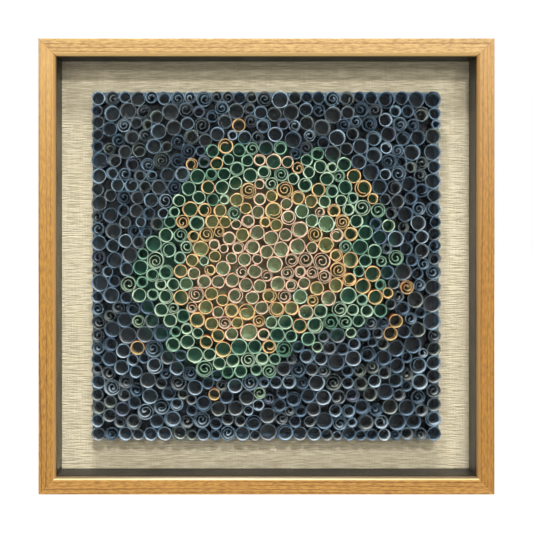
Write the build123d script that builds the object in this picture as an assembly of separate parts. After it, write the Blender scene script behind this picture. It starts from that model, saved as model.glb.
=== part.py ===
from build123d import *
import math
import os
import random
from collections import namedtuple

# Framed quilled paper art: a deep oak shadow-box frame holding a square field of
# paper coils that stand on edge on a painted board, in front of linen, behind glass.
# Millimetres, +Z up, the picture faces -Y. The frame stands on its lower edge at Z 0,
# and X 0 and Y 0 are the middle of its width and of its depth with the wall bumpers.

# Frame mouldings
face_width = 22.0
lip_thickness = 8.0
rabbet_width = 6.0
edge_rounding = 1.0
lip_bevel = 2.8

# What lies in the rabbet, from front to back
glass_thickness = 2.0
coil_height = 20.0
glass_coil_gap = 2.0
base_board_thickness = 8.0
linen_thickness = 0.8
mount_board_thickness = 4.0
back_panel_thickness = 3.0
rear_recess = 2.2
spacer_thickness = 5.8

# Clearances
glass_clearance = 1.0
board_clearance = 0.5
spacer_clearance = 0.2
driven_clearance = 0.05

# Coil field
field_side = 465.0
base_board_margin = 2.0
linen_margin_side = 43.5
linen_margin_top = 43.5
smallest_coil_radius = 6.2
usual_coil_radius = 9.2
largest_coil_radius = 12.0
filled_share = 0.825
row_squeeze = 0.93
row_stagger = 0.25
strewing = 0.45
layout_seed = 11
relaxing_rounds = 220
fitting_steps = 40
none_left = 1e-6
growing_share = 1.12
open_share = 0.62
coil_wall = 1.6
bore_sides = 6
smallest_joined_bore_radius = 6.6
shortest_edge_length = 0.2
centre_zone_radius = 108.0
ring_zone_breadth = 55.0
zone_offset_x = -3.0
zone_offset_z = 8.0

# Lobes that make the zones' outlines uneven: size, number round the zone, and start
zone_lobes = ((0.10, 2, 0.6), (0.07, 3, 2.1), (0.04, 5, 4.0))

# Framer's points that hold the back panel
point_length = 14.0
point_width = 5.0
point_thickness = 0.5
point_bite = 5.0
point_tip = 3.0
points_per_side = 4

# Corner wedges driven across each mitre
wedge_leg = 6.0
wedge_thickness = 0.5
wedge_depth = 10.0
wedge_inset = 3.5
wedge_spacing = 6.0
wedges_per_corner = 2

# Keyhole hanger plates and their screws
plate_length = 52.0
plate_width = 14.0
plate_thickness = 1.5
keyhole_radius = 4.5
keyhole_slot_width = 4.2
keyhole_slot_length = 11.0
pocket_margin = 1.0
pocket_depth = 8.0
screw_spacing = 40.0
screw_radius = 1.5
screw_head_radius = 3.0
screw_length = 15.0
screw_slot_width = 0.8
screw_slot_depth = 0.7
screw_slot_angle = 30.0

# Wall bumpers
bumper_radius = 6.0
bumper_thickness = 3.0
bumper_rise = 45.0

# Depths that follow
spacer_depth = coil_height + glass_coil_gap + base_board_thickness
frame_depth = (
    lip_thickness
    + glass_thickness
    + spacer_depth
    + linen_thickness
    + mount_board_thickness
    + back_panel_thickness
    + rear_recess
)
front_y = -(frame_depth + bumper_thickness) / 2
rear_y = front_y + frame_depth
lip_back_y = front_y + lip_thickness
glass_back_y = lip_back_y + glass_thickness
linen_front_y = glass_back_y + spacer_depth
linen_back_y = linen_front_y + linen_thickness
board_back_y = linen_back_y + mount_board_thickness
panel_back_y = board_back_y + back_panel_thickness
base_board_front_y = linen_front_y - base_board_thickness

# Widths that follow
base_board_side = field_side + 2 * base_board_margin
frame_width = base_board_side + 2 * (linen_margin_side + face_width)
frame_height = base_board_side + 2 * (linen_margin_top + face_width)
wall_width = face_width - rabbet_width
rabbet_opening_width = frame_width - 2 * wall_width
rabbet_opening_height = frame_height - 2 * wall_width
picture_middle = frame_height / 2
side_point_pitch = (frame_height - 2 * face_width) / points_per_side
plate_middle_z = picture_middle + (points_per_side / 2 - 1) * side_point_pitch

Coil = namedtuple("Coil", "x z radius is_open turn")


def slab(outline, back_y, thickness):
    """A flat outline drawn in X and Z, made solid from back_y towards the front."""
    plane = Plane(origin=(0, back_y, 0), x_dir=(1, 0, 0), z_dir=(0, -1, 0))
    return extrude(plane * outline, amount=thickness)


def rectangle(width, height, middle_z):
    return Pos(0, middle_z) * Rectangle(width, height)


def polygon(points):
    return make_face(Polyline(*points, close=True))


# Layout of the coils


def draw_radius(chance):
    return chance.triangular(smallest_coil_radius, largest_coil_radius, usual_coil_radius)


def row_run(radii):
    """How far a row of touching coils reaches along the edge they all stand on."""
    return sum(2 * math.sqrt(a * b) for a, b in zip(radii, radii[1:]))


def edge_row(first, last, chance):
    """Radii between two corner coils, scaled so that the row touches from end to end."""
    run = field_side - first - last
    between = []
    while row_run([first, *between, last]) < run:
        between.append(draw_radius(chance))
    low, high = 0.0, 1.0
    for _ in range(fitting_steps):
        middle = (low + high) / 2
        if row_run([first, *(r * middle for r in between), last]) < run:
            low = middle
        else:
            high = middle
    return [r * low for r in between]


def border_discs(chance):
    """Coils that stand against the four edges: [x, z, radius], round the field in order."""
    half = field_side / 2
    corners = [draw_radius(chance) for _ in range(4)]
    discs = []
    for side, first in enumerate(corners):
        last = corners[(side + 1) % 4]
        row = [first, *edge_row(first, last, chance)]
        turn_x, turn_z = ((1, 0), (0, 1), (-1, 0), (0, -1))[side]
        for place, radius in enumerate(row):
            along = first - half + row_run(row[: place + 1])
            rise = radius - half
            discs.append([along * turn_x - rise * turn_z, along * turn_z + rise * turn_x, radius])
    return discs


def inner_discs(chance):
    """Coils inside the border, strewn unevenly over staggered rows that fill their share."""
    inside = field_side - 4 * usual_coil_radius
    pitch = usual_coil_radius * math.sqrt(math.pi / filled_share)
    rows = round(inside / (pitch * row_squeeze))
    columns = round(inside / (pitch / row_squeeze))
    discs = []
    for row in range(rows):
        stagger = row_stagger if row % 2 else -row_stagger
        for column in range(columns):
            along = column + 0.5 + stagger + chance.uniform(-strewing, strewing)
            rise = row + 0.5 + chance.uniform(-strewing, strewing)
            x = (along / columns - 0.5) * inside
            z = (rise / rows - 0.5) * inside
            discs.append([x, z, draw_radius(chance)])
    return discs


def near_pairs(discs, cell):
    """Index pairs of discs that lie in the same square of the plane or in neighbouring ones."""
    squares = {}
    for index, (x, z, _) in enumerate(discs):
        squares.setdefault((x // cell, z // cell), []).append(index)
    for (column, row), members in squares.items():
        for place, index in enumerate(members):
            for other in members[place + 1 :]:
                yield index, other
        for step in ((1, -1), (1, 0), (1, 1), (0, 1)):
            for other in squares.get((column + step[0], row + step[1]), ()):
                for index in members:
                    yield index, other


def relax(discs, fixed):
    """Pushes overlapping discs apart. The first ones, along the border, stay where they are."""
    for _ in range(relaxing_rounds):
        for i, j in near_pairs(discs, 2 * largest_coil_radius):
            a, b = discs[i], discs[j]
            across, up = b[0] - a[0], b[1] - a[1]
            apart = math.sqrt(across * across + up * up) or none_left
            overlap = a[2] + b[2] - apart
            if overlap <= 0 or (i < fixed and j < fixed):
                continue
            share_a = 0.0 if i < fixed else 1.0 if j < fixed else 0.5
            across *= overlap / apart
            up *= overlap / apart
            a[0] -= across * share_a
            a[1] -= up * share_a
            b[0] += across * (1 - share_a)
            b[1] += up * (1 - share_a)


def fit_radii(discs, fixed):
    """Trims or grows each inner coil until it just touches its nearest neighbour."""
    rooms = [[] for _ in discs]
    for i, j in near_pairs(discs, 2 * largest_coil_radius * growing_share):
        a, b = discs[i], discs[j]
        apart = math.hypot(b[0] - a[0], b[1] - a[1])
        rooms[i].append((apart, j))
        rooms[j].append((apart, i))
    for index in range(fixed, len(discs)):
        nearest = min((apart - discs[other][2] for apart, other in rooms[index]), default=0)
        shared = min((apart / 2 for apart, _ in rooms[index]), default=nearest)
        limit = discs[index][2] * growing_share
        discs[index][2] = max(min(nearest, limit), min(shared, smallest_coil_radius / 2))


def lay_coils():
    """All coils of the field, with its middle at X 0 and Z 0. The border coils come first."""
    chance = random.Random(layout_seed)
    border = border_discs(chance)
    discs = border + inner_discs(chance)
    relax(discs, len(border))
    fit_radii(discs, len(border))
    coils = []
    for x, z, radius in discs:
        is_open = chance.random() < open_share
        coils.append(Coil(x, z, radius, is_open, chance.uniform(0, 2 * math.pi)))
    return coils, len(border)


# Colour zones of the field


def zone_of(coil):
    """0 for the warm middle, 1 for the green ring and 2 for the blue surround."""
    across = coil.x - zone_offset_x
    up = coil.z - zone_offset_z
    angle = math.atan2(up, across)
    uneven = 1 + sum(size * math.sin(lobes * angle + start) for size, lobes, start in zone_lobes)
    reach = math.hypot(across, up) / uneven
    if reach < centre_zone_radius:
        return 0
    return 1 if reach < centre_zone_radius + ring_zone_breadth else 2


def clip(cell, normal, offset, name):
    """The part of a convex cell on the near side of a line. Each corner of a cell carries
    the name of the edge that leaves it."""
    kept = []
    for (point, edge), (following, _) in zip(cell, cell[1:] + cell[:1]):
        here = point[0] * normal[0] + point[1] * normal[1] - offset
        there = following[0] * normal[0] + following[1] * normal[1] - offset
        if (here <= 0) != (there <= 0):
            share = here / (here - there)
            crossing = tuple(p + (f - p) * share for p, f in zip(point, following))
        if here <= 0:
            kept.append((point, edge))
            if there > 0:
                kept.append((crossing, name))
        elif there <= 0:
            kept.append((crossing, edge))
    return kept


def cells_of(coils):
    """The share of the field that belongs to each coil: a convex cell whose edges pass
    between it and its neighbours, each named by the neighbour's index."""
    half = field_side / 2 + base_board_margin
    corners = ((-half, -half), (half, -half), (half, half), (-half, half))
    square = [(corner, None) for corner in corners]
    cells = [square] * len(coils)
    for i, j in near_pairs([(c.x, c.z, c.radius) for c in coils], 4 * largest_coil_radius):
        a, b = coils[i], coils[j]
        across, up = b.x - a.x, b.z - a.z
        middle = (b.x**2 + b.z**2 - b.radius**2 - a.x**2 - a.z**2 + a.radius**2) / 2
        cells[i] = clip(cells[i], (across, up), middle, j)
        cells[j] = clip(cells[j], (-across, -up), -middle, i)
    return cells


def loops_round(group, cells):
    """Closed outlines of the cells of a group of coils."""
    edges = []
    for index in group:
        cell = cells[index]
        for (point, name), (following, _) in zip(cell, cell[1:] + cell[:1]):
            if name not in group:
                edges.append((point, following))
    loops = []
    while edges:
        start, end = edges.pop()
        loop = [start]
        while math.dist(end, start) > none_left:
            nearest = min(edges, key=lambda edge: math.dist(edge[0], end))
            edges.remove(nearest)
            loop.append(nearest[0])
            end = nearest[1]
        loops.append(loop)
    return loops


def signed_area(loop):
    return sum(a[0] * b[1] - b[0] * a[1] for a, b in zip(loop, loop[1:] + loop[:1])) / 2


def spaced(loop):
    """The loop without the corners that lie almost on the one before them."""
    kept = []
    for point in loop:
        if not kept or math.dist(point, kept[-1]) > shortest_edge_length:
            kept.append(point)
    if math.dist(kept[0], kept[-1]) <= shortest_edge_length:
        kept.pop()
    return kept


def core_outline(group, cells):
    """Flat outline of a group of coils, with the islands of other coils left open."""
    loops = [spaced(loop) for loop in loops_round(group, cells)]
    solid = [polygon(loop) for loop in loops if signed_area(loop) > 0]
    islands = [polygon(loop) for loop in loops if signed_area(loop) < 0]
    outline = Sketch() + solid
    return outline - islands if islands else outline


def facet_normals(coil):
    """Directions, in eighths of a turn, of the flats that stand for a border coil's outside."""
    half = field_side / 2
    sides = [
        coil.x + coil.radius > half - none_left,
        coil.z + coil.radius > half - none_left,
        coil.x - coil.radius < -half + none_left,
        coil.z - coil.radius < -half + none_left,
    ]
    touched = [quarter for quarter in range(4) if sides[quarter]]
    if touched == [0, 3]:
        touched = [3, 4]
    return list(range(2 * touched[0] - 1, 2 * touched[-1] + 2))


def flat_of(coil, eighth):
    """A line that touches a coil on its outside: normal and offset."""
    normal = (math.cos(eighth * math.pi / 4), math.sin(eighth * math.pi / 4))
    return normal, normal[0] * coil.x + normal[1] * coil.z + coil.radius


def meeting(line, other):
    """Where two lines, each given by normal and offset, cross."""
    (a, b), first = line
    (c, d), second = other
    across = a * d - b * c
    return ((first * d - b * second) / across, (a * second - first * c) / across)


def scalloped_outline(border):
    """The field's outside: flats round each border coil, and a valley between each two."""
    flats = []
    for coil in border:
        flats += [flat_of(coil, eighth) for eighth in facet_normals(coil)]
    corners = [meeting(line, other) for line, other in zip(flats, flats[1:] + flats[:1])]
    return Sketch() + polygon(corners)


def bore(coil):
    """Flat-sided bore of an open coil, with the area of its round one."""
    inner = coil.radius - coil_wall
    wedge_angle = 2 * math.pi / bore_sides
    corner_radius = inner * math.sqrt(wedge_angle / math.sin(wedge_angle))
    shape = RegularPolygon(corner_radius, bore_sides)
    return Pos(coil.x, coil.z) * Rot(0, 0, math.degrees(coil.turn)) * shape


def coil_field():
    """The coils of each colour zone, joined where they are glued, as one solid a zone."""
    coils, border_count = lay_coils()
    cells = cells_of(coils)
    zones = [zone_of(coil) for coil in coils]
    centre = core_outline({i for i, zone in enumerate(zones) if zone == 0}, cells)
    centre_and_ring = core_outline({i for i, zone in enumerate(zones) if zone <= 1}, cells)
    whole = scalloped_outline(coils[:border_count])
    outlines = (centre, centre_and_ring - centre, whole - centre_and_ring)
    solids = []
    for zone, outline in enumerate(outlines):
        bores = [
            bore(coil)
            for coil, place in zip(coils, zones)
            if place == zone and coil.is_open and coil.radius - coil_wall > smallest_joined_bore_radius
        ]
        drawn = Pos(0, picture_middle) * (outline - bores)
        solids.append(slab(drawn, base_board_front_y, coil_height))
    return solids


# Frame mouldings and what is driven into them


def moulding(length):
    """A mitred oak moulding lying along X: outer edge on Z 0, picture side up."""
    y = (front_y, lip_back_y, rear_y)
    profile = polygon(
        (
            (y[0], 0),
            (y[2], 0),
            (y[2], wall_width),
            (y[1], wall_width),
            (y[1], face_width),
            (y[0], face_width),
        )
    )
    outer_corner = profile.vertices().sort_by_distance((y[0], 0))[0]
    profile = fillet(outer_corner, edge_rounding)
    lip_corner = profile.vertices().sort_by_distance((y[0], face_width))[0]
    profile = chamfer(lip_corner, lip_bevel)
    plane = Plane(origin=(-length / 2, 0, 0), x_dir=(0, 1, 0), z_dir=(1, 0, 0))
    bar = extrude(plane * profile, amount=length)
    half = length / 2
    inner = half - face_width
    mitred = polygon(((-half, 0), (half, 0), (inner, face_width), (-inner, face_width)))
    return bar & slab(mitred, rear_y, frame_depth)


def corner_shape(points, across, up):
    """An outline given by distances in from an outer corner of the frame."""
    return polygon(
        [
            (across * (frame_width / 2 - u), picture_middle + up * (frame_height / 2 - v))
            for u, v in points
        ]
    )


def corner_wedges(slack=0.0):
    """Angle-shaped wedges, flush with the rear face, each with a leg in either moulding."""
    wedges = []
    for across in (-1, 1):
        for up in (-1, 1):
            for number in range(wedges_per_corner):
                place = wedge_inset + number * wedge_spacing
                near = place - slack
                far = place + wedge_leg + slack
                inner = place + wedge_thickness + slack
                points = (
                    (near, near),
                    (far, near),
                    (far, inner),
                    (inner, inner),
                    (inner, far),
                    (near, far),
                )
                wedges.append(slab(corner_shape(points, across, up), rear_y, wedge_depth + slack))
    return wedges


def framers_point(slack=0.0):
    """A flat steel point over the bottom moulding, driven into its rabbet wall."""
    half = point_width / 2 + slack
    top = wall_width - point_bite + point_length
    tip = wall_width - point_bite - slack
    points = ((-half, top), (-half, tip + point_tip), (0, tip), (half, tip + point_tip), (half, top))
    return slab(polygon(points), panel_back_y + point_thickness + slack, point_thickness + 2 * slack)


def framers_points(slack=0.0):
    """The points along all four mouldings."""
    points = []
    for side in range(4):
        length = frame_height if side % 2 else frame_width
        reach = frame_width if side % 2 else frame_height
        for number in range(points_per_side):
            along = (number + 0.5) / points_per_side * (length - 2 * face_width)
            along -= length / 2 - face_width
            point = Pos(along, 0, -reach / 2) * framers_point(slack)
            points.append(Pos(0, 0, picture_middle) * Rot(0, 90 * side, 0) * point)
    return points


def plate_middle_x(across):
    return across * (frame_width - wall_width) / 2


def keyhole(slack=0.0):
    """Outline of the entry hole and the slot above it, with the plate's middle between."""
    middle = -keyhole_slot_length / 2
    entry = Pos(0, middle) * Circle(keyhole_radius + slack)
    slot_radius = keyhole_slot_width / 2 + slack
    straight = Pos(0, middle + keyhole_slot_length / 2) * Rectangle(2 * slot_radius, keyhole_slot_length)
    return entry + straight + Pos(0, middle + keyhole_slot_length) * Circle(slot_radius)


def screw(slack=0.0):
    """A countersunk wood screw along Y, its head flush with Y 0 and its tip towards -Y."""
    cone_depth = screw_head_radius - screw_radius
    profile = polygon(
        (
            (0, 0),
            (screw_head_radius + slack, 0),
            (screw_radius + slack, -cone_depth),
            (screw_radius + slack, -screw_length + screw_radius),
            (0, -screw_length - slack),
        )
    )
    return revolve(profile, Axis.Y)


def screw_places():
    places = []
    for across in (-1, 1):
        for up in (-1, 1):
            z = plate_middle_z + up * screw_spacing / 2
            places.append(Pos(plate_middle_x(across), rear_y + plate_thickness, z))
    return places


def hanger_screws():
    driver_slot = Box(2 * screw_head_radius, screw_slot_depth, screw_slot_width)
    driver_slot = Pos(0, -screw_slot_depth / 2, 0) * driver_slot
    turned = Rot(0, screw_slot_angle, 0) * (screw() - driver_slot)
    return [place * turned for place in screw_places()]


def hanger_plate(across):
    """A round-ended steel plate with its keyhole and two countersunk holes."""
    outline = SlotOverall(plate_length, plate_width, rotation=90) - keyhole()
    placed = Pos(plate_middle_x(across), plate_middle_z) * outline
    plate = slab(placed, rear_y + plate_thickness, plate_thickness)
    return plate - [place * screw(driven_clearance) for place in screw_places()]


def screw_head_pocket(across):
    """The hollow in the stile behind a keyhole, for the head of the wall screw."""
    widened = Rectangle(2 * (keyhole_radius + pocket_margin), keyhole_slot_length)
    outline = Pos(plate_middle_x(across), plate_middle_z) * (keyhole(pocket_margin) + widened)
    return slab(outline, rear_y, pocket_depth)


def frame_mouldings():
    """The two rails and two stiles, cut for the wedges, points, screws and pockets."""
    rail = moulding(frame_width)
    stile = moulding(frame_height)
    pieces = {
        "rail_bottom": rail,
        "rail_top": Pos(0, 0, frame_height) * Rot(0, 180, 0) * rail,
        "stile_left": Pos(-frame_width / 2, 0, picture_middle) * Rot(0, 90, 0) * stile,
        "stile_right": Pos(frame_width / 2, 0, picture_middle) * Rot(0, -90, 0) * stile,
    }
    driven = corner_wedges(driven_clearance) + framers_points(driven_clearance)
    fixings = [place * screw(driven_clearance) for place in screw_places()]
    fixings += [screw_head_pocket(across) for across in (-1, 1)]
    for name, piece in pieces.items():
        cutters = driven + fixings if name.startswith("stile") else driven
        pieces[name] = piece - cutters
    return pieces


# Boards, glass and spacers


def fitted_board(thickness, back_y, clearance):
    """A sheet that fills the rabbet, with a clearance all round."""
    width = rabbet_opening_width - 2 * clearance
    height = rabbet_opening_height - 2 * clearance
    return slab(rectangle(width, height, picture_middle), back_y, thickness)


def spacers():
    """Four strips that hold the glass off the linen, the side ones between the other two."""
    width = rabbet_opening_width - 2 * spacer_clearance
    height = rabbet_opening_height - 2 * spacer_clearance
    rise = (height - spacer_thickness) / 2
    shift = (width - spacer_thickness) / 2
    between = height - 2 * spacer_thickness
    outlines = {
        "spacer_top": Pos(0, picture_middle + rise) * Rectangle(width, spacer_thickness),
        "spacer_bottom": Pos(0, picture_middle - rise) * Rectangle(width, spacer_thickness),
        "spacer_left": Pos(-shift, picture_middle) * Rectangle(spacer_thickness, between),
        "spacer_right": Pos(shift, picture_middle) * Rectangle(spacer_thickness, between),
    }
    return {name: slab(outline, linen_front_y, spacer_depth) for name, outline in outlines.items()}


def base_board():
    outline = rectangle(base_board_side, base_board_side, picture_middle)
    return slab(outline, linen_front_y, base_board_thickness)


def wall_bumpers():
    bumpers = []
    for across in (-1, 1):
        outline = Pos(plate_middle_x(across), bumper_rise) * Circle(bumper_radius)
        bumpers.append(slab(outline, rear_y + bumper_thickness, bumper_thickness))
    return bumpers


def pieces():
    """Every node of the part by name."""
    centre, ring, surround = coil_field()
    nodes = frame_mouldings()
    nodes |= spacers()
    nodes["glass_pane"] = fitted_board(glass_thickness, glass_back_y, glass_clearance)
    nodes["linen_cover"] = fitted_board(linen_thickness, linen_back_y, board_clearance)
    nodes["mount_board"] = fitted_board(mount_board_thickness, board_back_y, board_clearance)
    nodes["back_panel"] = fitted_board(back_panel_thickness, panel_back_y, board_clearance)
    nodes["base_board"] = base_board()
    nodes["coils_centre"] = centre
    nodes["coils_ring"] = ring
    nodes["coils_surround"] = surround
    nodes["corner_wedges"] = Compound(corner_wedges())
    nodes["framers_points"] = Compound(framers_points())
    nodes["hanger_plate_left"] = hanger_plate(-1)
    nodes["hanger_plate_right"] = hanger_plate(1)
    nodes["hanger_screws"] = Compound(hanger_screws())
    nodes["wall_bumpers"] = Compound(wall_bumpers())
    return nodes


os.makedirs("parts", exist_ok=True)
for node, shape in pieces().items():
    export_step(shape, f"parts/{node}.step")
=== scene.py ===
import math
import random
from collections import namedtuple

import bpy
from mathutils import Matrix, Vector, noise


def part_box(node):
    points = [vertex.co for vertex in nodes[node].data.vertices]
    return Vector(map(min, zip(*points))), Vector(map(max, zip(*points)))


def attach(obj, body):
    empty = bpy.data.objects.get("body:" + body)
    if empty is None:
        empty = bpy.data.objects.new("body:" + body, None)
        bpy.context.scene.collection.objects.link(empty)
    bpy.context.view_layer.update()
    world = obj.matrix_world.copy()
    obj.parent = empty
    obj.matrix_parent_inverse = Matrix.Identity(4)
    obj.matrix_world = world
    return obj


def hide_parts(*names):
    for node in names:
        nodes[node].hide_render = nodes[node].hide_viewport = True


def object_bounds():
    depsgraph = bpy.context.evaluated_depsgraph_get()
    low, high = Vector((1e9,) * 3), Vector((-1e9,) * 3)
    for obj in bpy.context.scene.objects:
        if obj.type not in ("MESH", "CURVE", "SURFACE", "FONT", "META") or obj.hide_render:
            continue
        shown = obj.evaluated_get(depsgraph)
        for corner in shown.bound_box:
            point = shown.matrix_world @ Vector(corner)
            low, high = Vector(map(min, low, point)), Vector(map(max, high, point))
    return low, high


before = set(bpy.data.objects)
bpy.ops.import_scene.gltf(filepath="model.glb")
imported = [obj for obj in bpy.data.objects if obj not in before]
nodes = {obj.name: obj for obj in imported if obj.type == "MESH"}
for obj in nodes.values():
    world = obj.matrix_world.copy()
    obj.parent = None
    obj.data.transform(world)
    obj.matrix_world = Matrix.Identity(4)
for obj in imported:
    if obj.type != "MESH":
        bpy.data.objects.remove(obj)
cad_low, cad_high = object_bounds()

# Framed quilled paper art: rolled card strips stand on edge on a painted board, in front
# of stretched linen, in a deep oak frame behind glass. Metres, +Z up, the picture faces -Y.

millimetre = 0.001

# Framing of the photograph
photo_side_px = 533
frame_side_px = 456.5
camera_distance = 1.0
camera_aside = -0.035
camera_rise = 0.05
camera_near = 0.01
sensor_side = 36.0

# Light: direction towards each lamp, its distance and side, and its share of white
lamps = {
    "key_lamp": ((0.14, -1.0, 0.74), 9.0, 0.6, 0.32),
    "steep_lamp": ((-0.25, -1.0, 2.24), 1.72, 0.23, 0.21),
    "top_lamp": ((0.05, -1.0, 4.20), 9.0, 1.8, 0.15),
    "left_lamp": ((-0.70, -1.0, 0.40), 9.0, 0.9, 0.10),
    "right_lamp": ((0.34, -1.0, 0.72), 9.0, 0.7, 0.08),
    "low_lamp": ((0.58, -1.0, 0.34), 9.0, 1.0, 0.12),
}
lamp_colour = (1.0, 0.98, 0.94)
ambient_level = 0.14
ambient_colour = (1.0, 0.82, 0.60, 1.0)
floor_albedo = 0.35
floor_top_up = 0.85
floor_radius = 9.0
shadow_fade_start = 0.9
shadow_fade_end = 2.2

# Layout of the coils: lengths in millimetres, and shares
field_side = 465.0
smallest_coil_radius = 6.2
usual_coil_radius = 9.2
largest_coil_radius = 12.0
filled_share = 0.825
row_squeeze = 0.93
row_stagger = 0.25
strewing = 0.45
layout_seed = 11
fitting_steps = 40
relaxing_rounds = 220
least_apart = 1e-6
growing_share = 1.12
open_share = 0.62

# Colour zones: lengths in millimetres, and shares. A lobe of their outlines has a size, a
# number round the outline and a start, and a zone has a name and a material slot.
centre_zone_radius = 108.0
ring_zone_breadth = 55.0
zone_offset_x = -3.0
zone_offset_z = 8.0
zone_lobes = ((0.10, 2, 0.6), (0.07, 3, 2.1), (0.04, 5, 4.0))
zones = (("centre", "paper_warm"), ("ring", "paper_green"), ("surround", "paper_blue"))
deep_side_start = 20.0
middle_share = 0.62
inner_ring_share = 0.65
near_surround_share = 1.5

# Rolled strips: lengths in millimetres, turns and shares
ring_strip = 1.0
double_strip = 0.9
spiral_strip = 0.72
zone_strip_shares = (0.88, 0.76, 0.56)
ring_share = 0.70
ring_turns = (1.05, 1.3)
double_turns = (1.8, 2.2)
double_end_shares = (0.60, 0.80)
double_leans = (0.6, 1.0)
spiral_shares = (0.48, 0.66, 0.72)
spiral_end_radii = (1.3, 2.6)
spiral_pitches = (3.6, 5.0)
spiral_leans = (0.0, 0.35)
outer_turns = 1.15
slide_easing = 0.3
hook_turns = 0.3
hook_radius = 1.5
hook_pull = 0.6
hook_swelling = 0.9
most_oval = 0.10
tuck_start = 0.8
turn_spacing = 1.06
rim_unevenness = 0.7
dyed_from = 0.30
segments_a_turn = 25
least_segments = 12
least_bend = 1.0
strip_seed = 29

# Linen: divisions along a side, deepest sag in metres, and lumps a metre
linen_divisions = 90
linen_sag = 0.00012
linen_lumps_across = 18
linen_lumps_up = 45

# Edges of a mesh that turn by more than this stay sharp
crease_angle = math.radians(40)

Coil = namedtuple("Coil", "x z radius is_open turn")


def tone(red, green, blue):
    """A colour given as it shows on screen, from 0 to 255, for a shader."""
    linear = []
    for value in (red, green, blue):
        share = value / 255
        linear.append(share / 12.92 if share <= 0.04045 else ((share + 0.055) / 1.055) ** 2.4)
    return (*linear, 1.0)


# Shader nodes


def feed(tree, socket, value):
    if isinstance(value, bpy.types.NodeSocket):
        tree.links.new(value, socket)
    else:
        socket.default_value = value


def place(tree, kind, fed=None, **settings):
    """A new node with its settings, its inputs fed by sockets or plain values."""
    node = tree.nodes.new(kind)
    for name, value in settings.items():
        setattr(node, name, value)
    for name, value in (fed or {}).items():
        feed(tree, node.inputs[name], value)
    return node


def calc(tree, operation, *values):
    return place(tree, "ShaderNodeMath", dict(enumerate(values)), operation=operation).outputs[0]


def mixed_colour(tree, factor, first, second, blend="MIX"):
    fed = {0: factor, 6: first, 7: second}
    node = place(tree, "ShaderNodeMix", fed, data_type="RGBA", blend_type=blend)
    return node.outputs[2]


def spread(tree, value, low, high, to_low=0.0, to_high=1.0, smooth=False):
    kind = "SMOOTHSTEP" if smooth else "LINEAR"
    fed = {0: value, 1: low, 2: high, 3: to_low, 4: to_high}
    return place(tree, "ShaderNodeMapRange", fed, interpolation_type=kind).outputs[0]


def stretched(tree, vector, scale):
    return place(tree, "ShaderNodeVectorMath", {0: vector, 1: scale}, operation="MULTIPLY").outputs[0]


def speckle(tree, vector, scale, detail=2.0, roughness=0.5):
    fed = {"Vector": vector, "Scale": scale, "Detail": detail, "Roughness": roughness}
    return place(tree, "ShaderNodeTexNoise", fed).outputs[0]


def streaks(tree, vector, lumps_a_metre, detail=2.0, roughness=0.5):
    """Noise with its own number of lumps a metre along each axis."""
    return speckle(tree, stretched(tree, vector, lumps_a_metre), 1.0, detail, roughness)


def object_place(tree):
    return place(tree, "ShaderNodeTexCoord").outputs["Object"]


def off_middle(tree, x, z):
    """Distances from the picture's upright and level middle lines, and the larger of them."""
    rise = calc(tree, "ABSOLUTE", calc(tree, "SUBTRACT", z, cad_high.z / 2))
    aside = calc(tree, "ABSOLUTE", x)
    return aside, rise, calc(tree, "MAXIMUM", aside, rise)


def new_group(name, inputs, outputs):
    """A shader node group with named inputs, given with their first values, and outputs."""
    group = bpy.data.node_groups.new(name, "ShaderNodeTree")
    kinds = {float: "NodeSocketFloat", tuple: "NodeSocketColor", Vector: "NodeSocketVector"}
    for label, value in inputs.items():
        kind = kinds[type(value)]
        socket = group.interface.new_socket(label, in_out="INPUT", socket_type=kind)
        socket.default_value = value
    for label in outputs:
        kind = "NodeSocketColor" if label == "Colour" else "NodeSocketFloat"
        group.interface.new_socket(label, in_out="OUTPUT", socket_type=kind)
    given = group.nodes.new("NodeGroupInput").outputs
    return group, given, group.nodes.new("NodeGroupOutput").inputs


def new_material(name, roughness=0.5, **plain):
    """A material with plain values on its own shader, ready for a group's outputs."""
    material = bpy.data.materials.new(name)
    material.use_nodes = True
    shader = material.node_tree.nodes["Principled BSDF"]
    shader.inputs["Roughness"].default_value = roughness
    for label, value in plain.items():
        shader.inputs[label.replace("_", " ")].default_value = value
    return material, material.node_tree, shader


def finish_with(tree, shader, group, fed, relief, relief_depth=0.0002):
    """Places a finish group in a material and joins its outputs to the shader. A group that
    puts out no roughness leaves the material's own."""
    finish = place(tree, "ShaderNodeGroup", node_tree=group)
    for label, value in fed.items():
        feed(tree, finish.inputs[label], value)
    tree.links.new(finish.outputs["Colour"], shader.inputs["Base Color"])
    if "Roughness" in finish.outputs:
        tree.links.new(finish.outputs["Roughness"], shader.inputs["Roughness"])
    bump = place(tree, "ShaderNodeBump", {"Height": finish.outputs["Height"]})
    bump.inputs["Strength"].default_value = relief
    bump.inputs["Distance"].default_value = relief_depth
    tree.links.new(bump.outputs["Normal"], shader.inputs["Normal"])


# Finishes


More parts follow.
